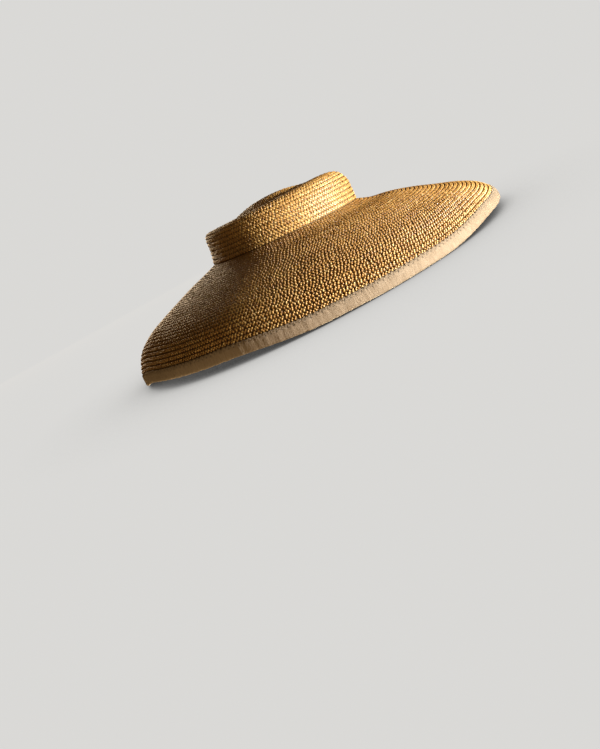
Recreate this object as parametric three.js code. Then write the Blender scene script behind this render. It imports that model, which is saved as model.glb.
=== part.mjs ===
// A straw tilt hat with a wide platter brim that rolls down at its edge, a small shallow
// crown, and a grosgrain ribbon folded over the edge of the brim.
//
// Millimetres. +Z is up and the hat rests on its rim at z = 0. -X is the side that is
// worn low, -Y the side that faces forward. The rim is centred on the Z axis.

import * as THREE from "three";

// Material thicknesses and the gap that parts the sewn pieces.
const STRAW_WALL = 1.6;
const RIBBON_WALL = 1.0;
const GAP = 0.3;

// How far the brim's inner edge turns up inside the crown, and how deep the ribbon
// reaches over the brim's edge on each side.
const COLLAR_HEIGHT = 6;
const RIBBON_DEPTH = 12;

// Facets: steps round the hat, and steps along the section of each piece.
const ROUND_STEPS = 60;
const CROWN_STEPS = 14;
const BRIM_STEPS = 13;
const COLLAR_STEPS = 2;
const RIBBON_STEPS = 3;

// The crown, from its foot to the middle of its roof, as a row for each ring. A ring is a
// tilted circle: its radius, how far its centre lies from the Z axis towards +X, and its
// height at the left (-X) and at the right (+X).
const CROWN_RINGS = [
  { radius: 83.2, shift: -4.1, left: 79.0, right: 71.0 },
  { radius: 82.4, shift: -3.1, left: 85.5, right: 78.0 },
  { radius: 81.6, shift: -2.1, left: 94.0, right: 86.5 },
  { radius: 81.2, shift: -1.8, left: 102.0, right: 92.0 },
  { radius: 79.3, shift: -2.2, left: 107.5, right: 98.2 },
  { radius: 75.5, shift: -2.6, left: 110.3, right: 103.8 },
  { radius: 69.0, shift: -2.9, left: 110.7, right: 107.2 },
  { radius: 57.0, shift: -3.3, left: 110.2, right: 109.0 },
  { radius: 42.0, shift: -3.9, left: 109.9, right: 109.6 },
  { radius: 34.0, shift: -4.2, left: 112.0, right: 111.2 },
  { radius: 19.0, shift: -4.2, left: 115.0, right: 114.4 },
  { radius: 0.0, shift: -4.2, left: 116.0, right: 116.0 },
];

// The brim outside the crown, in the same way. Its heights are above the brim's own lower
// edge, and the last column is the share of the edge's rise that a ring takes.
const BRIM_RINGS = [
  { radius: 98, shift: -3.3, left: 72.2, right: 62.8, follow: 0.0 },
  { radius: 119, shift: -2.4, left: 66.5, right: 58.0, follow: 0.05 },
  { radius: 140, shift: -1.6, left: 59.5, right: 50.4, follow: 0.15 },
  { radius: 161, shift: -0.9, left: 52.2, right: 40.6, follow: 0.3 },
  { radius: 182, shift: -0.3, left: 43.6, right: 30.0, follow: 0.55 },
  { radius: 198, shift: 0, left: 31.8, right: 18.6, follow: 0.8 },
  { radius: 207.4, shift: 0, left: 14.0, right: 6.5, follow: 0.95 },
  { radius: 208.7, shift: 0, left: 0, right: 0, follow: 1.0 },
];

// How far the edge of the brim stands off the surface that it rests on, round from +X.
// Both halves of the hat follow the same rows.
const EDGE_RISE = [
  { degrees: 0, rise: 9.0 },
  { degrees: 30, rise: 6.5 },
  { degrees: 58, rise: 0.0 },
  { degrees: 72, rise: 0.0 },
  { degrees: 90, rise: 1.0 },
  { degrees: 120, rise: 7.5 },
  { degrees: 150, rise: 9.0 },
  { degrees: 174, rise: 0.0 },
  { degrees: 180, rise: 0.0 },
];

const STRAW = new THREE.MeshStandardMaterial({
  color: 0xb98f4f,
  roughness: 0.62,
  metalness: 0,
});
const RIBBON = new THREE.MeshStandardMaterial({
  color: 0xc9b48d,
  roughness: 0.85,
  metalness: 0,
});

function edgeRise(azimuth) {
  const turned = Math.abs(THREE.MathUtils.euclideanModulo(azimuth + Math.PI, 2 * Math.PI) - Math.PI);
  const degrees = THREE.MathUtils.radToDeg(turned);
  const last = EDGE_RISE.length - 1;
  const next = EDGE_RISE.findIndex((row, i) => degrees <= row.degrees || i === last);
  if (next === 0) return EDGE_RISE[0].rise;
  const [from, to] = [EDGE_RISE[next - 1], EDGE_RISE[next]];
  const share = THREE.MathUtils.smoothstep(degrees, from.degrees, to.degrees);
  return THREE.MathUtils.lerp(from.rise, to.rise, share);
}

// A point of a section: x is the ring's radius, y its shift and z its height.
function sectionPoint(ring, azimuth, lift = 0) {
  const towardsRight = (1 + Math.cos(azimuth)) / 2;
  const height = THREE.MathUtils.lerp(ring.left, ring.right, towardsRight);
  return new THREE.Vector3(ring.radius, ring.shift, height + lift);
}

// The section moved sideways by a distance, to the left of its direction of travel when
// seen with the radius to the right and the height up.
function offset(section, distance) {
  const last = section.length - 1;
  const sideways = (from, to) => new THREE.Vector3(from.z - to.z, 0, to.x - from.x).normalize();
  return section.map((point, i) => {
    const before = sideways(section[Math.max(i - 1, 0)], section[Math.max(i, 1)]);
    const after = sideways(section[Math.min(i, last - 1)], section[Math.min(i + 1, last)]);
    const middle = before.clone().add(after).normalize();
    return point.clone().addScaledVector(middle, distance / middle.dot(after));
  });
}

// An offset section whose last point is moved to a level, where its edge is cut flat.
function offsetToLevel(section, distance, level) {
  const side = offset(section, distance);
  side[side.length - 1].z = level;
  return side;
}

function crownCurve(azimuth) {
  return new THREE.CatmullRomCurve3(CROWN_RINGS.map((ring) => sectionPoint(ring, azimuth)));
}

// The upper face of the brim from the crease at the crown's foot to the brim's lower edge,
// which stands clear of the rest plane by the ribbon folded under it. The last steps are
// those that the ribbon covers.
function brimSection(azimuth) {
  const crease = sectionPoint(CROWN_RINGS[0], azimuth, -GAP);
  crease.x -= STRAW_WALL + GAP;
  const rise = edgeRise(azimuth);
  const lift = RIBBON_WALL + GAP;
  const rings = BRIM_RINGS.map((ring) => sectionPoint(ring, azimuth, lift + ring.follow * rise));
  const curve = new THREE.CatmullRomCurve3([crease, ...rings]);
  const covered = (RIBBON_DEPTH - RIBBON_WALL) / curve.getLength();
  const section = [];
  for (let i = 0; i < BRIM_STEPS; i++) section.push(curve.getPointAt(((1 - covered) * i) / BRIM_STEPS));
  for (let i = RIBBON_STEPS; i >= 0; i--) section.push(curve.getPointAt(1 - (covered * i) / RIBBON_STEPS));
  return section;
}

// The brim's inner edge, turned up to lie along the inside of the crown's wall.
function collarSection(azimuth) {
  const wall = crownCurve(azimuth);
  const length = wall.getLength();
  const along = [];
  for (let i = 0; i < COLLAR_STEPS; i++) {
    along.push(wall.getPointAt((COLLAR_HEIGHT * (COLLAR_STEPS - i)) / COLLAR_STEPS / length));
  }
  return offset([...along, wall.getPointAt(0)], -(STRAW_WALL + GAP)).slice(0, COLLAR_STEPS);
}

function crownOutline(azimuth) {
  const outer = crownCurve(azimuth).getSpacedPoints(CROWN_STEPS);
  const inner = offset(outer, STRAW_WALL);
  inner[CROWN_STEPS].x = 0;
  return [...outer, ...inner.reverse()];
}

function brimOutline(azimuth) {
  const upper = [...collarSection(azimuth), ...brimSection(azimuth)];
  const edgeLevel = upper[upper.length - 1].z;
  return [...offsetToLevel(upper, -STRAW_WALL, edgeLevel), ...upper.reverse()];
}

// The ribbon's outline runs up the inner leg, down the outer leg, and back round the space
// that holds the brim's edge.
function bindingOutline(azimuth) {
  const hem = brimSection(azimuth).slice(-RIBBON_STEPS - 1);
  const underside = edgeRise(azimuth);
  const fold = underside + RIBBON_WALL;
  const inside = offsetToLevel(hem, -(STRAW_WALL + GAP + RIBBON_WALL), underside);
  const outside = offsetToLevel(hem, GAP + RIBBON_WALL, underside);
  const outsideLining = offsetToLevel(hem, GAP, fold);
  const insideLining = offsetToLevel(hem, -(STRAW_WALL + GAP), fold);
  return [...inside, ...outside.reverse(), ...outsideLining, ...insideLining.reverse()];
}

// A closed body swept round the hat. outlineAt gives the section's closed outline at an
// azimuth, and points on the axis are shared by all the sections.
function sweptBody(outlineAt) {
  const rings = [];
  for (let i = 0; i < ROUND_STEPS; i++) {
    const azimuth = (2 * Math.PI * i) / ROUND_STEPS;
    rings.push(
      outlineAt(azimuth).map(({ x: radius, y: shift, z }) => [
        shift + radius * Math.cos(azimuth),
        radius * Math.sin(azimuth),
        z,
      ]),
    );
  }
  const count = rings[0].length;
  const onAxis = outlineAt(0).map((point) => point.x === 0);
  const corner = (start, n) => (onAxis[n] ? n : start + n);
  const index = [];
  rings.forEach((ring, i) => {
    const here = i * count;
    const next = ((i + 1) % ROUND_STEPS) * count;
    for (let j = 0; j < count; j++) {
      const k = (j + 1) % count;
      if (onAxis[j] && onAxis[k]) continue;
      if (!onAxis[j]) index.push(corner(here, j), corner(next, j), corner(next, k));
      if (!onAxis[k]) index.push(corner(here, j), corner(next, k), corner(here, k));
    }
  });
  const geometry = new THREE.BufferGeometry();
  geometry.setAttribute("position", new THREE.Float32BufferAttribute(rings.flat(2), 3));
  geometry.setIndex(index);
  geometry.computeVertexNormals();
  return geometry;
}

function piece(name, outlineAt, material) {
  const mesh = new THREE.Mesh(sweptBody(outlineAt), material);
  mesh.name = name;
  return mesh;
}

const hat = new THREE.Group();
hat.add(
  piece("crown", crownOutline, STRAW),
  piece("brim", brimOutline, STRAW),
  piece("edge_binding", bindingOutline, RIBBON),
);

export default hat;
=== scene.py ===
"""A straw tilt hat: sewn rows of braid over a crown and a wide platter brim, with a
grosgrain ribbon folded over the edge of the brim and caught by a zigzag of thread.

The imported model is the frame. Its three nodes are replaced by detailed pieces that lie in
the same space, built from the same rings. Lengths are millimetres until a mesh is made.
The stage, the lights and the camera are in metres.
"""

import math

import bpy
import numpy as np
from mathutils import Matrix, Vector


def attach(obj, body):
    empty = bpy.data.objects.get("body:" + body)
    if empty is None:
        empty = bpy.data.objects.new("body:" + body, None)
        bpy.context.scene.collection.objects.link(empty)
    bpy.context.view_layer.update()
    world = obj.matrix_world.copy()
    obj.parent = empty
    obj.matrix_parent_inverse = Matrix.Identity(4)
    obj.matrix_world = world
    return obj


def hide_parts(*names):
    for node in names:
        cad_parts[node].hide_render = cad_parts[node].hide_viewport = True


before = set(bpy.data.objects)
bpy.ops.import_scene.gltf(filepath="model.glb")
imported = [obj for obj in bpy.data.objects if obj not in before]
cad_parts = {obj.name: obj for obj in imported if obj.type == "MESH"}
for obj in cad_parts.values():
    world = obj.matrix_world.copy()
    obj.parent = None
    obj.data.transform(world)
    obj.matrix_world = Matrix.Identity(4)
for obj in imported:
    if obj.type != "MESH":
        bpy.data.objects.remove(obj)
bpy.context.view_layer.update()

MM = 0.001
TURN = 2 * math.pi
random = np.random.default_rng(1947)

# ---------------------------------------------------------------- the hat's shape

STRAW_WALL = 1.6
RIBBON_WALL = 1.0
GAP = 0.3
RIBBON_DEPTH = 12.0
COLLAR_HEIGHT = 6.0

# The CAD part's rings, which are tilted circles: radius, shift towards +X, height at -X
# and height at +X.
CROWN_RINGS = np.array([
    (83.2, -4.1, 79.0, 71.0),
    (82.4, -3.1, 85.5, 78.0),
    (81.6, -2.1, 94.0, 86.5),
    (81.2, -1.8, 102.0, 92.0),
    (79.3, -2.2, 107.5, 98.2),
    (75.5, -2.6, 110.3, 103.8),
    (69.0, -2.9, 110.7, 107.2),
    (57.0, -3.3, 110.2, 109.0),
    (42.0, -3.9, 109.9, 109.6),
    (34.0, -4.2, 112.0, 111.2),
    (19.0, -4.2, 115.0, 114.4),
    (0.0, -4.2, 116.0, 116.0),
])

# The brim's rings have one more column, the share of the edge's rise that they take.
BRIM_RINGS = np.array([
    (98.0, -3.3, 72.2, 62.8, 0.0),
    (119.0, -2.4, 66.5, 58.0, 0.05),
    (140.0, -1.6, 59.5, 50.4, 0.15),
    (161.0, -0.9, 52.2, 40.6, 0.3),
    (182.0, -0.3, 43.6, 30.0, 0.55),
    (198.0, 0.0, 31.8, 18.6, 0.8),
    (207.4, 0.0, 14.0, 6.5, 0.95),
    (208.7, 0.0, 0.0, 0.0, 1.0),
])

# How far the brim's edge stands off the floor: degrees round from +X, and millimetres.
EDGE_RISE = np.array([
    (0, 9.0), (30, 6.5), (58, 0.0), (72, 0.0), (90, 1.0),
    (120, 7.5), (150, 9.0), (174, 0.0), (180, 0.0),
])


def edge_rise(azimuth):
    degrees = np.degrees(np.abs((azimuth + math.pi) % TURN - math.pi))
    row = np.clip(np.searchsorted(EDGE_RISE[:, 0], degrees) - 1, 0, len(EDGE_RISE) - 2)
    start, end = EDGE_RISE[row], EDGE_RISE[row + 1]
    share = np.clip((degrees - start[..., 0]) / (end[..., 0] - start[..., 0]), 0, 1)
    return start[..., 1] + (end[..., 1] - start[..., 1]) * share * share * (3 - 2 * share)


def ring_points(rings, azimuth):
    """The rings' section points as (azimuth, ring, (radius, shift, height))."""
    share = ((1 + np.cos(azimuth)) / 2)[:, None]
    height = rings[:, 2] + (rings[:, 3] - rings[:, 2]) * share
    flat = np.broadcast_to(rings[:, :2], (len(azimuth), len(rings), 2))
    return np.concatenate([flat, height[..., None]], axis=2)


def crown_section(azimuth):
    return ring_points(CROWN_RINGS, azimuth)


def brim_section(azimuth):
    crease = ring_points(CROWN_RINGS[:1], azimuth)
    crease[:, 0, 0] -= STRAW_WALL + GAP
    crease[:, 0, 2] -= GAP
    rings = ring_points(BRIM_RINGS, azimuth)
    rise = edge_rise(azimuth)[:, None] * BRIM_RINGS[:, 4]
    rings[:, :, 2] += RIBBON_WALL + GAP + rise
    return np.concatenate([crease, rings], axis=1)


def through(points, steps=16):
    """Centripetal Catmull-Rom curves through (curve, point, axis)."""
    first = 2 * points[:, :1] - points[:, 1:2]
    last = 2 * points[:, -1:] - points[:, -2:-1]
    p = np.concatenate([first, points, last], axis=1)
    p0, p1, p2, p3 = p[:, :-3], p[:, 1:-2], p[:, 2:-1], p[:, 3:]

    def knot(a, b):
        return np.sqrt(np.linalg.norm(b - a, axis=2, keepdims=True))

    d0, d1, d2 = knot(p0, p1), knot(p1, p2), knot(p2, p3)
    t1 = ((p1 - p0) / d0 - (p2 - p0) / (d0 + d1) + (p2 - p1) / d1) * d1
    t2 = ((p2 - p1) / d1 - (p3 - p1) / (d1 + d2) + (p3 - p2) / d2) * d1
    c2 = 3 * (p2 - p1) - 2 * t1 - t2
    c3 = 2 * (p1 - p2) + t1 + t2
    t = np.linspace(0, 1, steps, endpoint=False)[None, None, :, None]
    curve = p1[:, :, None] + t * (t1[:, :, None] + t * (c2[:, :, None] + t * c3[:, :, None]))
    curve = curve.reshape(len(points), -1, 3)
    return np.concatenate([curve, points[:, -1:]], axis=1)


class Face:
    """A face of the hat. along runs from 0 to 1 over its section, and side is 1 where the
    section's direction crossed with the way round gives the outward normal, else -1."""

    # Steps of the table of points, round the hat and along the section.
    ROUND = 720
    ALONG = 400
    # How far to each side of a point its directions are taken: radians, and a share.
    NUDGE_ROUND = 0.006
    NUDGE_ALONG = 0.004

    def __init__(self, section, side):
        azimuth = np.arange(self.ROUND + 1) * TURN / self.ROUND
        curve = through(section(azimuth))
        step = np.linalg.norm(np.diff(curve, axis=1), axis=2)
        run = np.concatenate([np.zeros((len(curve), 1)), np.cumsum(step, axis=1)], axis=1)
        length = run[:, -1]
        self.mean_length = float(length[:-1].mean())
        at = np.linspace(0, 1, self.ALONG + 1)
        even = np.stack([
            np.stack([np.interp(at * lengths[-1], lengths, line[:, axis]) for axis in range(3)], axis=1)
            for lengths, line in zip(run, curve)
        ])
        radius, shift, height = even[..., 0], even[..., 1], even[..., 2]
        cos, sin = np.cos(azimuth)[:, None], np.sin(azimuth)[:, None]
        self.table = np.stack([shift + radius * cos, radius * sin, height], axis=2)
        self.side = side

    def point(self, azimuth, along):
        i = (azimuth % TURN) / TURN * self.ROUND
        j = np.clip(along, 0, 1) * self.ALONG
        i0 = np.minimum(i.astype(int), self.ROUND - 1)
        j0 = np.minimum(j.astype(int), self.ALONG - 1)
        u, v = (i - i0)[..., None], (j - j0)[..., None]
        table = self.table
        near = table[i0, j0] * (1 - v) + table[i0, j0 + 1] * v
        far = table[i0 + 1, j0] * (1 - v) + table[i0 + 1, j0 + 1] * v
        return near * (1 - u) + far * u

    def frame(self, azimuth, along):
        """Points, the unit direction along the section, the unit direction round the hat,
        the outward normal, and millimetres a radian round."""
        low = np.clip(along - self.NUDGE_ALONG, 0, 1)
        high = np.clip(along + self.NUDGE_ALONG, 0, 1)
        down = self.point(azimuth, high) - self.point(azimuth, low)
        down /= np.maximum(np.linalg.norm(down, axis=-1, keepdims=True), 1e-9)
        before = self.point(azimuth - self.NUDGE_ROUND, along)
        after = self.point(azimuth + self.NUDGE_ROUND, along)
        around = (after - before) / (2 * self.NUDGE_ROUND)
        stretch = np.linalg.norm(around, axis=-1)
        around = around / np.maximum(stretch, 1e-9)[..., None]
        normal = self.side * np.cross(down, around)
        normal /= np.maximum(np.linalg.norm(normal, axis=-1, keepdims=True), 1e-9)
        return self.point(azimuth, along), down, around, normal, stretch


brim_face = Face(brim_section, 1)
crown_face = Face(crown_section, -1)


# ---------------------------------------------------------------- meshes

def make_piece(name, points, faces, material, attributes=(), uv=None):
    """A smooth mesh object from points in millimetres and arrays of equal-sided faces.
    uv is one pair a face corner, in the faces' order."""
    mesh = bpy.data.meshes.new(name)
    points = np.asarray(points, float).reshape(-1, 3) * MM
    if not isinstance(faces, list):
        faces = [faces]
    groups = [np.asarray(group, np.int32) for group in faces]
    mesh.vertices.add(len(points))
    mesh.vertices.foreach_set("co", points.ravel())
    loops = np.concatenate([group.ravel() for group in groups])
    sizes = np.concatenate([np.full(len(group), group.shape[1], np.int32) for group in groups])
    starts = np.concatenate([[0], np.cumsum(sizes)[:-1]]).astype(np.int32)
    mesh.loops.add(len(loops))
    mesh.loops.foreach_set("vertex_index", loops)
    mesh.polygons.add(len(sizes))
    mesh.polygons.foreach_set("loop_start", starts)
    mesh.polygons.foreach_set("loop_total", sizes)
    mesh.polygons.foreach_set("use_smooth", np.full(len(sizes), True))
    for label, values in dict(attributes).items():
        layer = mesh.attributes.new(label, "FLOAT", "POINT")
        layer.data.foreach_set("value", np.asarray(values, np.float32).ravel())
    if uv is not None:
        layer = mesh.uv_layers.new(name="weave")
        layer.data.foreach_set("uv", np.asarray(uv, np.float32).ravel())
    mesh.materials.append(material)
    mesh.update(calc_edges=True)
    piece = bpy.data.objects.new(name, mesh)
    bpy.context.scene.collection.objects.link(piece)
    return piece


def swept_faces(columns, rows, closed_section):
    """Quads of a closed sweep round the hat whose vertices are column * rows + row."""
    last = rows if closed_section else rows - 1
    i, j = np.meshgrid(np.arange(columns), np.arange(last), indexing="ij")
    here, there = i * rows, ((i + 1) % columns) * rows
    k = (j + 1) % rows
    return np.stack([here + k, there + k, there + j, here + j], axis=-1).reshape(-1, 4)


def swept_uv(columns, around, across):
    """The pairs that go with swept_faces: around is how many units each strip of faces
    has in a full turn, and across each strip's two ends in units across."""
    i = np.arange(columns)[:, None] / columns
    u0, u1 = i * around, (i + 1 / columns) * around
    v0, v1 = (np.broadcast_to(v, u0.shape) for v in across)
    corners = [(u0, v1), (u1, v1), (u1, v0), (u0, v0)]
    return np.stack([np.stack(corner, axis=-1) for corner in corners], axis=2).reshape(-1, 2)


# ---------------------------------------------------------------- materials

# How far apart the grosgrain's ribs are.
RIB_PITCH = 0.8


def new_material(name):
    material = bpy.data.materials.new(name)
    material.use_nodes = True
    nodes, links = material.node_tree.nodes, material.node_tree.links
    return material, nodes, links, nodes["Principled BSDF"]


def ramp(nodes, links, factor, stops):
    """A colour ramp of (position, colour) stops, fed by the socket factor."""
    node = nodes.new("ShaderNodeValToRGB")
    elements = node.color_ramp.elements
    while len(elements) < len(stops):
        elements.new(0.5)
    for element, (at, colour) in zip(elements, stops):
        element.position = at
        element.color = (*colour, 1)
    links.new(factor, node.inputs["Fac"])
    return node.outputs["Color"]


def noise(nodes, links, scale, detail):
    """Noise over the object, with scale in features a metre."""
    coordinates = nodes.new("ShaderNodeTexCoord")
    texture = nodes.new("ShaderNodeTexNoise")
    texture.inputs["Scale"].default_value = scale
    texture.inputs["Detail"].default_value = detail
    links.new(coordinates.outputs["Object"], texture.inputs["Vector"])
    return texture.outputs["Fac"]


def weave_noise(nodes, links, stretch, detail):
    """Noise over the weave's own coordinates, stretched by so much along each."""
    coordinates = nodes.new("ShaderNodeUVMap")
    coordinates.uv_map = "weave"
    mapping = nodes.new("ShaderNodeMapping")
    mapping.inputs["Scale"].default_value = stretch
    texture = nodes.new("ShaderNodeTexNoise")
    texture.inputs["Scale"].default_value = 1.0
    texture.inputs["Detail"].default_value = detail
    links.new(coordinates.outputs["UV"], mapping.inputs["Vector"])
    links.new(mapping.outputs["Vector"], texture.inputs["Vector"])
    return texture.outputs["Fac"]


def weave_wave(nodes, links, along, across, phase=0.0):
    """A sine over the weave's own coordinates, of so many turns a unit of each."""
    coordinates = nodes.new("ShaderNodeUVMap")
    coordinates.uv_map = "weave"
    product = nodes.new("ShaderNodeVectorMath")
    product.operation = "DOT_PRODUCT"
    product.inputs[1].default_value = (along * TURN, across * TURN, 0)
    shift = nodes.new("ShaderNodeMath")
    shift.operation = "ADD"
    shift.inputs[1].default_value = phase
    wave = nodes.new("ShaderNodeMath")
    wave.operation = "SINE"
    links.new(coordinates.outputs["UV"], product.inputs[0])
    links.new(product.outputs["Value"], shift.inputs[0])
    links.new(shift.outputs[0], wave.inputs[0])
    return wave.outputs[0]


def arithmetic(nodes, links, operation, a, b):
    node = nodes.new("ShaderNodeMath")
    node.operation = operation
    for socket, value in zip(node.inputs, (a, b)):
        if isinstance(value, (int, float)):
            socket.default_value = value
        else:
            links.new(value, socket)
    return node.outputs[0]


def attribute(nodes, label):
    node = nodes.new("ShaderNodeAttribute")
    node.attribute_name = label
    return node.outputs["Fac"]


def blend(nodes, links, kind, factor, a, b):
    """Two colour sockets mixed: factor is a number or a socket."""
    node = nodes.new("ShaderNodeMix")
    node.data_type = "RGBA"
    node.blend_type = kind
    colour_inputs = [socket for socket in node.inputs if socket.type == "RGBA"]
    if isinstance(factor, (int, float)):
        node.inputs["Factor"].default_value = factor
    else:
        links.new(factor, node.inputs["Factor"])
    links.new(a, colour_inputs[0])
    links.new(b, colour_inputs[1])
    return [socket for socket in node.outputs if socket.type == "RGBA"][0]


def bump(nodes, links, shader, height, strength, distance):
    node = nodes.new("ShaderNodeBump")
    node.inputs["Strength"].default_value = strength
    node.inputs["Distance"].default_value = distance
    links.new(height, node.inputs["Height"])
    links.new(node.outputs["Normal"], shader.inputs["Normal"])


def straw_material():
    """Glossy straw splints. tone is each stitch's own shade, and lit is painted light and shade, 0 deep
    between the stitches and 1 on their crests."""
    material, nodes, links, shader = new_material("straw_braid")
    tone = ramp(nodes, links, attribute(nodes, "tone"), [
        (0.0, (0.36, 0.165, 0.030)),
        (0.35, (0.55, 0.290, 0.066)),
        (0.7, (0.70, 0.415, 0.115)),
        (1.0, (0.88, 0.640, 0.270)),
    ])
    patches = ramp(nodes, links, noise(nodes, links, 55.0, detail=3.0), [
        (0.3, (0.80, 0.75, 0.68)), (0.7, (1.0, 1.0, 1.0)),
    ])
    # Painted shade: the straw's colour darkens deep between the stitches and at their feet, where lit
    # is low.
    depth = ramp(nodes, links, attribute(nodes, "lit"), [
        (0.0, (0.32, 0.225, 0.12)), (0.5, (0.68, 0.61, 0.50)), (1.0, (1.0, 1.0, 1.0)),
    ])
    base = blend(nodes, links, "MULTIPLY", 1.0, tone, patches)
    base = blend(nodes, links, "MULTIPLY", 1.0, base, depth)
    links.new(base, shader.inputs["Base Color"])
    shader.inputs["Roughness"].default_value = 0.44
    shader.inputs["Specular IOR Level"].default_value = 0.85
    fibre = noise(nodes, links, 2600.0, detail=2.0)
    bump(nodes, links, shader, fibre, strength=0.25, distance=0.0003)
    return material


def ground_material():
    """The shaded straw that shows between the stitches, where lit is 0, and the woven
    underside, where lit is 1 on the crests of the rows."""
    material, nodes, links, shader = new_material("straw_ground")
    # Painted shade: a dark straw colour that stands for the shadow between the stitches, where lit is
    # 0.
    shade = ramp(nodes, links, noise(nodes, links, 240.0, detail=4.0), [
        (0.25, (0.050, 0.024, 0.007)), (0.75, (0.100, 0.050, 0.015)),
    ])
    forward = weave_wave(nodes, links, along=1.0, across=1.0)
    backward = weave_wave(nodes, links, along=1.0, across=-1.0, phase=0.5)
    beads = arithmetic(
        nodes, links, "ADD", arithmetic(nodes, links, "MULTIPLY", forward, 0.32),
        arithmetic(nodes, links, "MULTIPLY", backward, 0.16),
    )
    lifted = arithmetic(nodes, links, "ADD", beads, 1.0)
    woven = ramp(nodes, links, lifted, [
        (0.45, (0.36, 0.195, 0.058)), (0.95, (0.56, 0.36, 0.13)),
    ])
    patches = ramp(nodes, links, noise(nodes, links, 55.0, detail=3.0), [
        (0.3, (0.80, 0.76, 0.70)), (0.7, (1.0, 1.0, 1.0)),
    ])
    woven = blend(nodes, links, "MULTIPLY", 1.0, woven, patches)
    base = blend(nodes, links, "MIX", attribute(nodes, "lit"), shade, woven)
    links.new(base, shader.inputs["Base Color"])
    shader.inputs["Roughness"].default_value = 0.55
    fibre = arithmetic(
        nodes, links, "ADD", lifted,
        arithmetic(nodes, links, "MULTIPLY", noise(nodes, links, 1500.0, detail=3.0), 0.25),
    )
    bump(nodes, links, shader, fibre, strength=0.7, distance=0.0006)
    return material


def ribbon_material():
    """Ribbed grosgrain. Its weave coordinates are millimetres round the hat and down from
    the ribbon's edge, and lit is 0 where the thread bites."""
    material, nodes, links, shader = new_material("grosgrain")
    ribs = weave_wave(nodes, links, along=1 / RIB_PITCH, across=0.0)
    streaks = weave_noise(nodes, links, (0.75, 0.16, 1.0), detail=3.0)
    weave = arithmetic(
        nodes, links, "ADD", arithmetic(nodes, links, "MULTIPLY", ribs, 0.14), streaks,
    )
    colour = ramp(nodes, links, weave, [
        (0.2, (0.212, 0.143, 0.080)), (0.5, (0.275, 0.196, 0.120)), (0.8, (0.340, 0.256, 0.172)),
    ])
    ageing = ramp(nodes, links, noise(nodes, links, 70.0, detail=5.0), [
        (0.3, (0.84, 0.81, 0.76)), (0.7, (1.0, 1.0, 1.0)),
    ])
    # Painted shade in the pits where the thread bites, darkest where lit is 0.
    bite = ramp(nodes, links, attribute(nodes, "lit"), [
        (0.45, (0.02, 0.009, 0.003)), (0.9, (1.0, 1.0, 1.0)),
    ])
    base = blend(nodes, links, "MULTIPLY", 1.0, colour, ageing)
    base = blend(nodes, links, "MULTIPLY", 1.0, base, bite)
    links.new(base, shader.inputs["Base Color"])
    shader.inputs["Roughness"].default_value = 0.80
    shader.inputs["Sheen Weight"].default_value = 1.0
    shader.inputs["Sheen Roughness"].default_value = 0.45
    shader.inputs["Sheen Tint"].default_value = (1.0, 0.80, 0.55, 1)
    relief = arithmetic(
        nodes, links, "ADD", arithmetic(nodes, links, "MULTIPLY", ribs, 0.5),
        arithmetic(nodes, links, "MULTIPLY", streaks, 1.6),
    )
    bump(nodes, links, shader, relief, strength=0.6, distance=0.0003)
    return material


def thread_material():
    """Pale matt thread with a fine grain."""
    material, nodes, links, shader = new_material("sewing_thread")
    shade = ramp(nodes, links, noise(nodes, links, 900.0, detail=2.0), [
        (0.3, (0.34, 0.25, 0.15)), (0.7, (0.46, 0.36, 0.24)),
    ])
    links.new(shade, shader.inputs["Base Color"])
    shader.inputs["Roughness"].default_value = 0.7
    grain = noise(nodes, links, 4000.0, detail=1.0)
    bump(nodes, links, shader, grain, strength=0.3, distance=0.0002)
    return material


STRAW = straw_material()
GROUND = ground_material()
GROSGRAIN = ribbon_material()
THREAD = thread_material()

# ---------------------------------------------------------------- rows of braid

# Each row of braid holds two ranks of stitches, and the second is set on by half a stitch.
# RANK_AT is where the ranks lie, as shares of a row's width.
ROW_PITCH = 4.4
STITCH_PITCH = 3.27
RANK_AT = (0.28, 0.72)
FEWEST_STITCHES = 5

# The brim's rows end where the ribbon covers them.
COVERED = RIBBON_DEPTH - RIBBON_WALL
BRIM_END = 1 - COVERED / brim_face.mean_length
BRIM_ROWS = round(brim_face.mean_length * BRIM_END / ROW_PITCH)
CROWN_ROWS = round(crown_face.mean_length / ROW_PITCH)

# How far the ground and a seam lie below a row's crest, and how much shade a seam has.
GROUND_DEPTH = 0.5
RIDGE = 1.15
SEAM_SHADE = 0.65

# What straw that is pressed smooth loses: shares of the ground's depth and of the ridge,
# and so much of the shade.
PRESSED_GROUND = 0.75
PRESSED_RIDGE = 0.35
PRESSED_SHADE = 0.25

# How sharply a ridge, a seam's shade and the straw's change from smooth to rough set in.
RIDGE_POWER = 2.2
SEAM_POWER = 5
ROUGH_POWER = 2.2

# How rows get out of step, in stitches: a slip that shrinks towards the last row, and waves
# round the hat, as waves a turn and stitches. DRIFT is how the waves turn from row to row,
# and COUNTED_FROM is the azimuth of a row's first stitch before it slips.
COUNTED_FROM = math.radians(-105)
FIRST_SLIP = 0.5
LOST_SLIP = 0.4
WANDER = ((3, 0.20), (7, 0.10), (11, 0.06))
DRIFT = 0.5


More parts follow.
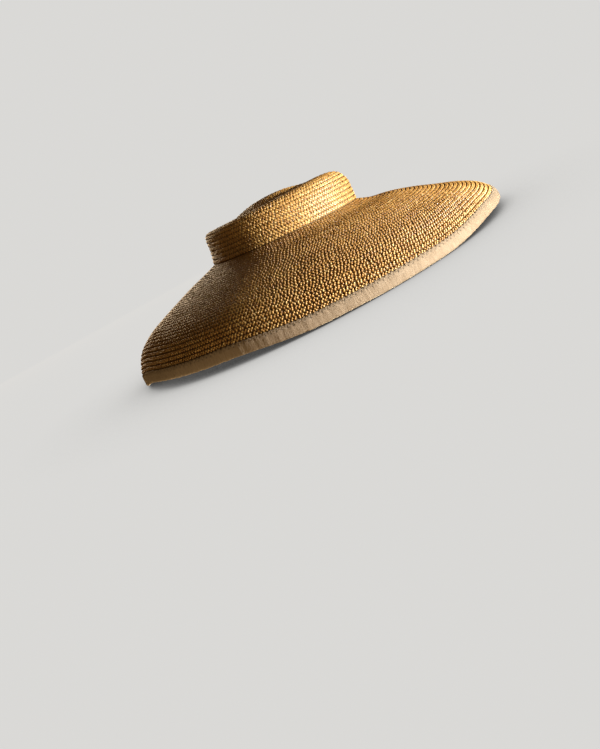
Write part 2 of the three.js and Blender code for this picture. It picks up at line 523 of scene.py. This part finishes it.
class Braid:
    """Rows sewn side by side on a face, from its start to the share end of it. pressed is how smooth
    the last row is, where the first is 1, and pale is the painted light on smooth straw."""

    def __init__(self, face, rows, end, pressed, pale):
        self.face, self.rows, self.end = face, rows, end
        self.pressed, self.pale = pressed, pale
        ring = np.linspace(0, TURN, 180, endpoint=False)
        middle = (np.arange(rows) + 0.5) / rows * end
        stretch = [face.frame(ring, np.full(len(ring), at))[4].mean() for at in middle]
        count = np.round(np.array(stretch) * TURN / STITCH_PITCH)
        self.count = np.maximum(count, FEWEST_STITCHES).astype(int)

    def across(self, along):
        """0 on a row's crest and 1 in the seam between two rows."""
        return np.abs(2 * ((along / self.end * self.rows) % 1) - 1)

    def ridge(self, along):
        """The height of the row's rounded section, which is 0 on its crest and else below 0."""
        height = RIDGE * (1 - PRESSED_RIDGE * self.softness(along)) * (along < self.end)
        return -height * self.across(along) ** RIDGE_POWER

    def seam(self, along):
        """How much light reaches the straw beside the seams: 1 is all of it."""
        shade = SEAM_SHADE - PRESSED_SHADE * self.softness(along)
        return 1 - shade * self.across(along) ** SEAM_POWER

    def depth(self, along):
        """How far the ground lies below the rows' crests."""
        return GROUND_DEPTH * (1 - PRESSED_GROUND * self.softness(along))

    def softness(self, along):
        """1 where the straw is pressed smooth, 0 where its stitches stand up."""
        return 1 - (1 - self.pressed) * np.clip(along / self.end, 0, 1) ** ROUGH_POWER

    def ranks(self):
        """Every stitch's azimuth, along, row and rank in the row, 0 or 1."""
        found = []
        drift = np.cumsum(random.standard_normal((self.rows, len(WANDER))) * DRIFT, axis=0)
        loose = FIRST_SLIP - LOST_SLIP * np.linspace(0, 1, self.rows) ** 2
        slip = random.uniform(-1, 1, self.rows) * loose
        for row, count in enumerate(self.count):
            for rank in (0, 1):
                number = np.arange(count) + rank / 2
                azimuth = COUNTED_FROM + (number + slip[row]) * TURN / count
                wander = sum(
                    size * np.sin(waves * azimuth + drift[row, i])
                    for i, (waves, size) in enumerate(WANDER)
                )
                azimuth = azimuth + wander * TURN / count
                along = (row + RANK_AT[rank]) / self.rows * self.end
                place = (np.full(count, value) for value in (along, row, rank))
                found.append((azimuth, *place))
        return [np.concatenate(column) for column in zip(*found)]


brim_braid = Braid(brim_face, BRIM_ROWS, BRIM_END, pressed=0.0, pale=0.24)
crown_braid = Braid(crown_face, CROWN_ROWS, 1.0, pressed=1.0, pale=0.85)

# The collar's rings run from its top down to this share of its height.
COLLAR_RINGS = 4
COLLAR_FOOT = 0.15

# How far a wall's inner face lies below the hat's face, under the rows and under the
# ribbon, and how much of the rows' ridges shows on it, in height and in shade.
INNER_UNDER_ROWS = 2.1
INNER_UNDER_RIBBON = 1.75
INNER_RIDGE = 0.4
INNER_SHADE = 0.7

# How lit the ground is between standing stitches, and how much more between pressed ones.
GROUND_LIT = 0.18
PRESSED_LIT = 0.40


def collar(azimuth):
    """The brim's inner edge, turned up inside the crown: its outer and inner faces."""
    share = np.linspace(1, COLLAR_FOOT, COLLAR_RINGS) * COLLAR_HEIGHT / crown_face.mean_length
    azimuths, shares = np.meshgrid(azimuth, share, indexing="ij")
    point, _, _, normal, _ = crown_face.frame(azimuths, shares)
    return point - normal * (STRAW_WALL + GAP), point - normal * (2 * STRAW_WALL + GAP)


def faces_of_wall(braid, columns):
    """A wall's two faces with the rows' ridges: outer and inner points, how lit each is,
    and where each section point lies in rows."""
    azimuth = np.arange(columns) * TURN / columns
    share = np.arange(2 * braid.rows) / (2 * braid.rows) * braid.end
    if braid.end < 1:
        under_ribbon = np.linspace(braid.end, 1, 4)
        share = np.concatenate([share, under_ribbon])
    azimuths, shares = np.meshgrid(azimuth, share, indexing="ij")
    point, _, _, normal, _ = braid.face.frame(azimuths, shares)
    ridge = braid.ridge(share)
    outer = point + normal * (ridge - braid.depth(share))[:, None]
    below_rows = INNER_UNDER_ROWS + INNER_RIDGE * ridge
    below = np.where(share < braid.end, below_rows, INNER_UNDER_RIBBON)
    inner = point - normal * below[:, None]
    # Painted light and shade: the underside is darker in its seams, and the ground between the stitches
    # darker still, less so where the straw is pressed and more so by the seams.
    lit_inner = 1 + INNER_SHADE * ridge / RIDGE
    lit_outer = (GROUND_LIT + PRESSED_LIT * braid.softness(share)) * braid.seam(share)
    return outer, inner, lit_outer, lit_inner, share / braid.end * braid.rows


def stitch_units(braid, at):
    """The stitches round the row that holds each strip between section points."""
    middle = (at[:-1] + at[1:]) / 2
    return braid.count[np.clip(middle.astype(int), 0, braid.rows - 1)]


def brim_shell():
    """The brim's wall: straw ground under the stitches, and its woven underside."""
    columns = 240
    outer, inner, lit_outer, lit_inner, at = faces_of_wall(brim_braid, columns)
    collar_outer, collar_inner = collar(np.arange(columns) * TURN / columns)
    section = np.concatenate([collar_outer, outer, inner[:, ::-1], collar_inner[:, ::-1]], axis=1)
    # Painted light and shade: the collar's outer face, inside the crown, takes the full painted shade.
    lit = np.concatenate([
        np.zeros(COLLAR_RINGS), lit_outer, lit_inner[::-1], np.ones(COLLAR_RINGS),
    ])
    # Where the collar's rings lie, in rows before the first.
    turned_up = np.array([-1.6, -1.2, -0.8, -0.4])
    across = np.concatenate([turned_up, at, at[::-1], turned_up[::-1]])
    across_ends = (across, np.roll(across, -1))
    around = stitch_units(brim_braid, np.append(across, across[0]))
    count = section.shape[1]
    return make_piece(
        "brim_ground", section, swept_faces(columns, count, True), GROUND,
        {"lit": np.broadcast_to(lit, (columns, count))}, swept_uv(columns, around, across_ends),
    )


def crown_shell():
    """The crown's wall and roof, closed at the middle of the roof."""
    columns = 180
    outer, inner, lit_outer, lit_inner, at = faces_of_wall(crown_braid, columns)
    section = np.concatenate([outer[:, ::-1], inner], axis=1)
    count = section.shape[1]
    across = np.concatenate([at[::-1], at])
    middle = crown_face.point(np.zeros(1), np.ones(1))[0]
    outer_dip, inner_dip = 0.2, 0.3
    points = np.concatenate([
        section.reshape(-1, 3),
        [middle - (0, 0, outer_dip), middle - (0, 0, STRAW_WALL + inner_dip)],
    ])
    here = np.arange(columns) * count
    there = np.roll(here, -1)
    over = np.stack([np.full(columns, columns * count), here, there], axis=1)
    last = count - 1
    under = np.stack([np.full(columns, columns * count + 1), there + last, here + last], axis=1)
    # Painted light and shade, as on the brim; the middle of the roof's outer face takes the full
    # painted shade.
    lit = np.concatenate([
        np.tile(np.concatenate([lit_outer[::-1], lit_inner]), columns), [0.0, 1.0],
    ])
    uv = swept_uv(columns, stitch_units(crown_braid, across), (across[:-1], across[1:]))
    corners_at_middle = over.size + under.size
    uv = np.concatenate([uv, np.zeros((corners_at_middle, 2))])
    faces = [swept_faces(columns, count, False), np.concatenate([over, under])]
    return make_piece("crown_ground", points, faces, GROUND, {"lit": lit}, uv)


brim_ground = brim_shell()
crown_ground = crown_shell()

# ---------------------------------------------------------------- straw stitches

# A stitch's slant in degrees, its reach across the row and its width.
SLANT = 28.0
STITCH_REACH = 2.1
STITCH_WIDTH = 2.0
# A stitch's section: sideways in half widths, height as a share of its crest's, and lit.
STITCH_CORNERS = ((1.0, 0.0, 0.0), (0.55, 1.0, 1.0), (-0.55, 1.0, 1.0), (-1.0, 0.0, 0.0))
STITCH_RINGS = 4

# How unlike stitches are, as one standard deviation: degrees, stitches, three shares of the
# height, reach and width, and millimetres of rise over half a width.
SLANT_SPREAD = 6.0
PLACE_SPREAD = 0.10
HEIGHT_SPREAD = 0.18
REACH_SPREAD = 0.06
WIDTH_SPREAD = 0.10
TILT_SPREAD = 0.16

# A stitch's arch from the seam inwards, in half turns of a sine: its start and its length.
ARCH_START = 0.05
ARCH_LENGTH = 0.78
# A stitch's width and light where its arch is 0, as shares of those where it is 1.
LOW_WIDTH = 0.35
LOW_LIT = 0.35
# How far a stitch's foot is sunk in the ground: pressed, and what a standing one adds.
FOOT_DEPTH = 0.03
STANDING_FOOT = 0.27
# What pressing adds to a stitch's width, and takes from the light on its crest.
PRESSED_WIDTH = 0.42
PRESSED_CREST = 0.75
# How lit a standing stitch's foot is, and how much paler a standing stitch is in tone.
FOOT_LIT = 0.30
STANDING_TONE = 0.12
# The least millimetres a radian to turn a stitch by, near the middle of the roof.
LEAST_STRETCH = 3.0

# A stitch's tone: the mean, its own spread, its row's, and the slow waves' share.
MEAN_TONE = 0.50
OWN_TONE = 0.17
ROW_TONE = 0.05
SLOW_TONE = 0.05
TONE_WAVES = (2, 3, 5, 9, 14)


def closed_strips(count, rings, corners):
    """Quads and end caps of separate closed strips, ring by ring and corner by corner."""
    start = (np.arange(count) * rings * corners)[:, None, None]
    i, j = np.meshgrid(np.arange(rings - 1), np.arange(corners), indexing="ij")
    k = (j + 1) % corners
    quad = np.stack([i, i, i + 1, i + 1], axis=-1) * corners + np.stack([j, k, k, j], axis=-1)
    caps = np.stack([np.arange(corners)[::-1], (rings - 1) * corners + np.arange(corners)])
    quads = (start + quad.reshape(1, -1, 4)).reshape(-1, 4)
    return quads, (start + caps[None]).reshape(-1, corners)


def stitch_tone(azimuth, row):
    """Each stitch's shade: its own, its row's, and slow changes along the braid."""
    slow = sum(
        np.sin(azimuth * waves + row * 0.7 * waves + 1.3 * waves * waves) / waves
        for waves in TONE_WAVES
    )
    by_row = random.standard_normal(int(row.max()) + 1)[row]
    own = random.standard_normal(len(azimuth))
    return np.clip(MEAN_TONE + OWN_TONE * own + SLOW_TONE * slow + ROW_TONE * by_row, 0, 1)


def stitches(name, braid, azimuth, along, row, rank, height):
    """Stitches as one joined mesh: rounded slanted beads that dip low at the seam and
    less in the middle of their row. height is how far each one's crest stands off the
    face, in millimetres."""
    count, face = len(azimuth), braid.face
    slant = SLANT + SLANT_SPREAD * random.standard_normal(count)
    slope = -np.tan(np.radians(slant)) * face.side
    wander = PLACE_SPREAD * random.standard_normal(count) * STITCH_PITCH
    height = height * (1 + HEIGHT_SPREAD * random.standard_normal(count))
    reach = STITCH_REACH * (1 + REACH_SPREAD * random.standard_normal(count))
    wider = WIDTH_SPREAD * random.standard_normal(count)
    half = STITCH_WIDTH / 2 * (1 + wider + PRESSED_WIDTH * braid.softness(along))
    stretch = np.maximum(face.frame(azimuth, along)[4], LEAST_STRETCH)
    steps = np.linspace(0, 1, STITCH_RINGS)
    from_seam = np.where(rank[:, None] == 0, steps, 1 - steps)
    arch = np.sin(np.pi * (ARCH_START + ARCH_LENGTH * from_seam))
    offset = (steps - 0.5)[None] * reach[:, None]
    azimuths = azimuth[:, None] + (slope[:, None] * offset + wander[:, None]) / stretch[:, None]
    shares = along[:, None] + offset / face.mean_length
    point, down, around, normal, _ = face.frame(azimuths, shares)
    run = down + around * slope[:, None, None]
    run /= np.linalg.norm(run, axis=2, keepdims=True)
    side = np.cross(normal, run)
    base = -braid.depth(shares) - FOOT_DEPTH - STANDING_FOOT * (1 - braid.softness(shares))
    crest = (height[:, None] - base) * arch
    width = half[:, None] * (LOW_WIDTH + (1 - LOW_WIDTH) * arch)
    tilt = TILT_SPREAD * random.standard_normal(count)[:, None]
    # Painted light and shade on each corner: pale light on smooth straw, a lit crest and a darker foot
    # on standing stitches, darker towards the stitches' ends and by the seams.
    smooth_lit, seam = braid.pale * braid.softness(shares), braid.seam(shares)
    corners, lit = [], []
    for sideways, rise, glow in STITCH_CORNERS:
        level = base + braid.ridge(shares) + crest * rise + tilt * sideways * rise
        corners.append(point + side * (sideways * width)[..., None] + normal * level[..., None])
        own_lit = FOOT_LIT + (1 - FOOT_LIT) * glow
        crest_lit = (1 - smooth_lit) * (1 - PRESSED_CREST * braid.softness(shares)) * own_lit
        lit.append((smooth_lit + crest_lit) * (LOW_LIT + (1 - LOW_LIT) * arch) * seam)
    points, lit = np.stack(corners, axis=2), np.stack(lit, axis=2)
    quads, caps = closed_strips(count, STITCH_RINGS, len(STITCH_CORNERS))
    tone = stitch_tone(azimuth, row) + STANDING_TONE * (1 - braid.softness(along))
    tone = np.broadcast_to(tone[:, None, None], lit.shape)
    faces = np.concatenate([quads, caps])
    return make_piece(name, points, faces, STRAW, {"tone": tone, "lit": lit})


# The brim's stitches make four meshes, by their share of the way over its rows.
BANDS = (("inner", 0.0, 0.36), ("middle", 0.36, 0.62), ("outer", 0.62, 0.82), ("edge", 0.82, 1.0))
# How far crests stand off the face: on pressed straw, what the brim's last row adds, and how
# late that comes in.
PRESSED_HEIGHT = 0.05
EDGE_HEIGHT = 0.60
HEIGHT_POWER = 2.5
# The crown's stitches stop short of the middle of its roof.
ROOF_END = 0.985

brim_ranks = brim_braid.ranks()
share = brim_ranks[1] / BRIM_END
brim_stitches = []
for label, low, high in BANDS:
    pick = (share >= low) & (share < high)
    height = PRESSED_HEIGHT + EDGE_HEIGHT * share[pick] ** HEIGHT_POWER
    brim_stitches.append(stitches(
        "brim_stitches_" + label, brim_braid, *(column[pick] for column in brim_ranks), height,
    ))

crown_ranks = crown_braid.ranks()
keep = crown_ranks[1] < ROOF_END
crown_stitches = stitches(
    "crown_stitches", crown_braid, *(column[keep] for column in crown_ranks),
    np.full(keep.sum(), PRESSED_HEIGHT),
)

# ---------------------------------------------------------------- ribbon

# The ribbon's thickness, and how far its two halves' outer faces stand off the brim's face.
SHEET = 0.5
OUTSIDE = 1.15
INSIDE = -2.8
# How far apart the thread's bites are round the hat, and how far below the ribbon's edge
# the two lines lie that take them in turn.
BITE_EVERY = 2.6
BITE_LINES = (0.4, 2.4)
EDGE_RADIUS = 208.0
BITES = round(TURN * EDGE_RADIUS / BITE_EVERY / 2) * 2
RIBBON_COLUMNS = 4 * BITES
# A bite's radius and full depth, the least share of it that a bite has, and the share by
# which the second line's bites are shallower.
BITE_RADIUS = 1.3
BITE_DEPTH = 0.5
SHALLOWEST = 0.6
SECOND_LINE = 0.3
# The puckers' height, and how far the ribbon's edge is pressed down. From the edge to
# EDGE_DEPTH the puckers grow and the press fades.
PUCKER = 0.06
PRESSED_EDGE = 0.35
EDGE_DEPTH = 3.0
# The puckers' waves, each as waves a turn, phase and weakness, and the noise on top of them.
PUCKER_WAVES = ((61, 2.2, 1.6), (97, 0.3, 1.0), (143, 1.9, 1.3), (211, 4.1, 1.6))
PUCKER_NOISE = 0.35
# The scallops' height, and how deep they reach below the ribbon's edge.
SCALLOP = 0.28
SCALLOP_DEPTH = 1.5
# In the weave's coordinates, where the fold starts and where the inner half ends, level
# with the last row.
FOLD_AT = 10.0
INNER_END_AT = 26.0
# The thread's half thickness, the corners of its section, and how far its ends are sunk.
THREAD_RADIUS = 0.11
THREAD_CORNERS = 4
THREAD_SUNK = 0.22


def ribbon_body():
    """The folded ribbon with its puckers, its scalloped upper edge and the thread's bites."""
    azimuth = np.arange(RIBBON_COLUMNS) * TURN / RIBBON_COLUMNS
    radius, middle = (OUTSIDE - INSIDE) / 2, (OUTSIDE + INSIDE) / 2
    length = brim_face.mean_length
    # How far the outer and the inner half's rings lie below the last row, and the fold's
    # rings as turns.
    drop = [0.0, 0.4, 0.8, 1.3, 1.8, 2.4, 3.0, 3.7, 5.2, 7.5]
    fold = np.linspace(0, math.pi, 7)
    inner_drop = [7.0, 4.0, 1.0]
    pucker = sum(
        np.sin(azimuth * waves + phase) / weakness for waves, phase, weakness in PUCKER_WAVES
    )
    pucker += PUCKER_NOISE * random.standard_normal(RIBBON_COLUMNS)
    bite_turn = azimuth / TURN * BITES / 2
    sunk = random.uniform(SHALLOWEST, 1.0, BITES)
    outer, inner, lit, depths = [], [], [], []

    def strip(at, turn, off, depth, bites):
        """Adds a ring of the ribbon, which stands off the face or, where turn is given,
        goes round the fold. depth is its place in the weave's coordinates, and bites says
        whether the thread bites there."""
        point, down, _, normal, _ = brim_face.frame(azimuth, at)
        fade = min(depth / EDGE_DEPTH, 1.0)
        pit = np.ones(RIBBON_COLUMNS)
        for number, line in enumerate(BITE_LINES if bites else ()):
            near = np.abs((bite_turn + 0.5 * number) % 1 - 0.5) * 2 * BITE_EVERY
            bite = (2 * np.floor(bite_turn + 0.5 * number).astype(int) + 1 - number) % BITES
            away = np.clip(np.hypot(near, depth - line) / BITE_RADIUS, 0, 1)
            pit = np.minimum(pit, 1 - (1 - SECOND_LINE * number) * sunk[bite] * (1 - away))
        level = PUCKER * pucker * fade - BITE_DEPTH * (1 - pit) - PRESSED_EDGE * (1 - fade)
        if turn is None:
            out = 1 if off > 0 else -1
            outer.append(point + normal * (off + out * level)[:, None])
            inner.append(point + normal * (off + out * (level - SHEET))[:, None])
        else:
            direction = normal * math.cos(turn) + down * math.sin(turn)
            centre = point + normal * middle
            outer.append(centre + direction * (radius + level)[:, None])
            inner.append(centre + direction * (radius + level - SHEET)[:, None])
        lit.append(pit)
        depths.append(depth)

    scallop = SCALLOP * (1 - np.cos(TURN * bite_turn)) / 2
    for depth in drop:
        shift = scallop * max(1 - depth / SCALLOP_DEPTH, 0)
        strip(1 - (COVERED - depth - shift) / length, None, OUTSIDE, depth, True)
    for turn in fold:
        at = np.full(RIBBON_COLUMNS, 1 - (radius - RIBBON_WALL) / length)
        strip(at, turn, 0, FOLD_AT + turn * radius, False)
    for depth in inner_drop:
        at = np.full(RIBBON_COLUMNS, 1 - (COVERED - depth) / length)
        strip(at, None, INSIDE, INNER_END_AT - depth, False)
    section = np.stack(outer + inner[::-1], axis=1)
    lit = np.stack(lit + [np.ones(RIBBON_COLUMNS)] * len(inner), axis=1)
    across = np.array(depths + depths[::-1])
    uv = swept_uv(
        RIBBON_COLUMNS, np.full(len(across), TURN * EDGE_RADIUS), (across, np.roll(across, -1)),
    )
    faces = swept_faces(RIBBON_COLUMNS, section.shape[1], True)
    return make_piece("edge_ribbon", section, faces, GROSGRAIN, {"lit": lit}, uv)


def ribbon_thread():
    """Strands of thread from bite to bite, in a zigzag."""
    number = np.arange(BITES)
    low, high = BITE_LINES
    depth = np.where(number % 2 == 0, high, low)
    azimuth = number * TURN / BITES
    # Six points to a strand, from just inside one bite to just inside the next.
    steps = np.linspace(0.04, 0.96, 6)
    azimuths = azimuth[:, None] + TURN / BITES * steps
    depths = depth[:, None] + (np.roll(depth, -1) - depth)[:, None] * steps
    along = 1 - (COVERED - depths) / brim_face.mean_length
    point, _, _, normal, _ = brim_face.frame(azimuths, along)
    arch = np.sin(np.pi * steps)[None]
    centre = point + normal * (OUTSIDE - THREAD_SUNK + THREAD_SUNK * arch)[..., None]
    run = np.gradient(centre, axis=1)
    run /= np.linalg.norm(run, axis=2, keepdims=True)
    side = np.cross(normal, run)
    ring = [
        centre + THREAD_RADIUS * (math.cos(turn) * side + math.sin(turn) * normal)
        for turn in TURN * (np.arange(THREAD_CORNERS) + 0.5) / THREAD_CORNERS
    ]
    quads, caps = closed_strips(BITES, len(steps), THREAD_CORNERS)
    faces = np.concatenate([quads, caps])
    return make_piece("ribbon_thread", np.stack(ring, axis=2), faces, THREAD)


edge_ribbon = ribbon_body()
thread = ribbon_thread()

# ---------------------------------------------------------------- each piece joins the root, and the parts it replaces are hidden

straw_pieces = [brim_ground, crown_ground, crown_stitches, *brim_stitches]
for piece in straw_pieces:
    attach(piece, "root")
for piece in (brim_ground, *brim_stitches):
    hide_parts("brim")
for piece in (crown_ground, crown_stitches):
    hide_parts("crown")
for piece in (edge_ribbon, thread):
    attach(piece, "root")
    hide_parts("edge_binding")

# ---------------------------------------------------------------- stage, light and camera

# How far off the wall starts to rise, the radius of its curve and its height.
WALL_FOOT = 6.0
WALL_CURVE = 4.0
WALL_HEIGHT = 8.0
STAGE_COLUMNS = 96
# How far the floor lies below the plane that the hat rests on.
FLOOR_DROP = 0.0002
# The height of the middle of the hat, which the lights face.
LIGHTS_AIM = 0.06


def stage_material():
    """A pale surface that shines by itself, with a painted shadow where it darkens beside what stands
    on it.
    """
    material, nodes, links, shader = new_material("pale_stage")
    # Painted shadow: occlusion dims the floor's glow beside the hat.
    near = nodes.new("ShaderNodeAmbientOcclusion")
    near.samples = 8
    near.inputs["Distance"].default_value = 0.16
    near.inputs["Color"].default_value = (1.0, 0.99, 0.965, 1)
    links.new(near.outputs["Color"], shader.inputs["Emission Color"])
    shader.inputs["Emission Strength"].default_value = 0.70
    shader.inputs["Base Color"].default_value = (0.008, 0.008, 0.008, 1)
    shader.inputs["Roughness"].default_value = 0.9
    shader.inputs["Specular IOR Level"].default_value = 0.0
    return material


def stage_part(name, radius, height, material):
    """A round sheet about the hat through rings of the given radii and heights."""
    azimuth = np.arange(STAGE_COLUMNS) * TURN / STAGE_COLUMNS
    section = np.stack([
        np.outer(np.cos(azimuth), radius), np.outer(np.sin(azimuth), radius),
        np.broadcast_to(height, (STAGE_COLUMNS, len(height))),
    ], axis=2) / MM
    part = make_piece(name, section, swept_faces(STAGE_COLUMNS, len(radius), False), material)
    part.location.z = -FLOOR_DROP
    return part


def build_stage():
    """A pale floor that runs out and curves up into a wall, the same from every side. It
    throws no light of its own on the hat, and the light of the lamps below it goes through."""
    material = stage_material()
    turn = np.linspace(0, math.pi / 2, 14)
    radius = np.concatenate([[0.001, 0.3, 1.0, 3.0], WALL_FOOT + WALL_CURVE * np.sin(turn)])
    height = np.concatenate([[0, 0, 0, 0], WALL_CURVE * (1 - np.cos(turn))])
    radius, height = np.append(radius, radius[-1]), np.append(height, WALL_HEIGHT)
    stage = stage_part("stage", radius, height, material)
    stage.visible_diffuse = False
    stage.visible_glossy = False
    stage.visible_shadow = False


def area_light(name, towards, distance, width, height, power, colour):
    """An area light that faces the middle of the hat. towards is azimuth and elevation."""
    azimuth, elevation = (math.radians(angle) for angle in towards)
    way = Vector((
        math.cos(azimuth) * math.cos(elevation),
        math.sin(azimuth) * math.cos(elevation),
        math.sin(elevation),
    ))
    data = bpy.data.lights.new(name, "AREA")
    data.shape = "RECTANGLE"
    data.size = width
    data.size_y = height
    data.energy = power
    data.color = colour
    light = bpy.data.objects.new(name, data)
    light.location = Vector((0, 0, LIGHTS_AIM)) + way * distance
    light.rotation_euler = way.to_track_quat("Z", "Y").to_euler()
    light.visible_camera = False
    bpy.context.scene.collection.objects.link(light)


def set_world(colour, strength):
    world = bpy.data.worlds.new("studio")
    world.use_nodes = True
    background = world.node_tree.nodes["Background"]
    background.inputs["Color"].default_value = (*colour, 1)
    background.inputs["Strength"].default_value = strength
    bpy.context.scene.world = world


# The camera stands in front of the hat, a little above level, and is rolled, so that the
# hat, which rests flat, is seen tipped down to its low side. Its distance and the height of
# its aim were chosen. Its lift, roll, pan, pitch and focal length come from a least-squares
# fit of the hat to its outline in the photo. Pan and pitch are in radians, and the focal
# length is in widths of the picture.
CAMERA_DISTANCE = 0.880
CAMERA_LIFT = math.radians(4.7647)
CAMERA_ROLL = math.radians(27.5974)
CAMERA_PAN = 0.0039
CAMERA_PITCH = 0.1414
CAMERA_AIM = 0.040
FOCAL_WIDTHS = 814.48 / 600
FRAME_ASPECT = 749 / 600


def place_camera():
    aim = Vector((0, 0, CAMERA_AIM))
    spot = aim + CAMERA_DISTANCE * Vector((0, -math.cos(CAMERA_LIFT), math.sin(CAMERA_LIFT)))
    ahead = (aim - spot).normalized()
    right = ahead.cross(Vector((0, 0, 1))).normalized()
    up = right.cross(ahead)
    cos, sin = math.cos(CAMERA_ROLL), math.sin(CAMERA_ROLL)
    right, up = cos * right - sin * up, sin * right + cos * up
    cos, sin = math.cos(CAMERA_PAN), math.sin(CAMERA_PAN)
    right, ahead = cos * right + sin * ahead, cos * ahead - sin * right
    cos, sin = math.cos(CAMERA_PITCH), math.sin(CAMERA_PITCH)
    up, ahead = cos * up + sin * ahead, cos * ahead - sin * up
    data = bpy.data.cameras.new("camera")
    # The sensor's width lies along the picture's longer side, its height.
    data.sensor_width = 36
    data.lens = data.sensor_width * FOCAL_WIDTHS / FRAME_ASPECT
    camera = bpy.data.objects.new("camera", data)
    turned = Matrix((right, up, -ahead)).transposed().to_4x4()
    camera.matrix_world = Matrix.Translation(spot) @ turned
    bpy.context.scene.collection.objects.link(camera)
    bpy.context.scene.camera = camera


build_stage()
area_light(
    "key", towards=(-25, -3.0), distance=1.7, width=0.50, height=0.05, power=105.0,
    colour=(1.0, 1.0, 0.98),
)
area_light(
    "bounce", towards=(-74, -30), distance=1.2, width=0.6, height=0.6, power=5.5,
    colour=(1.0, 0.78, 0.50),
)
area_light(
    "back_fill", towards=(113, 13), distance=1.8, width=1.2, height=1.0, power=19.0,
    colour=(1.0, 0.77, 0.50),
)
set_world(colour=(1.0, 0.67, 0.33), strength=0.12)
place_camera()
bpy.context.scene.view_settings.view_transform = "Standard"

bpy.context.view_layer.update()
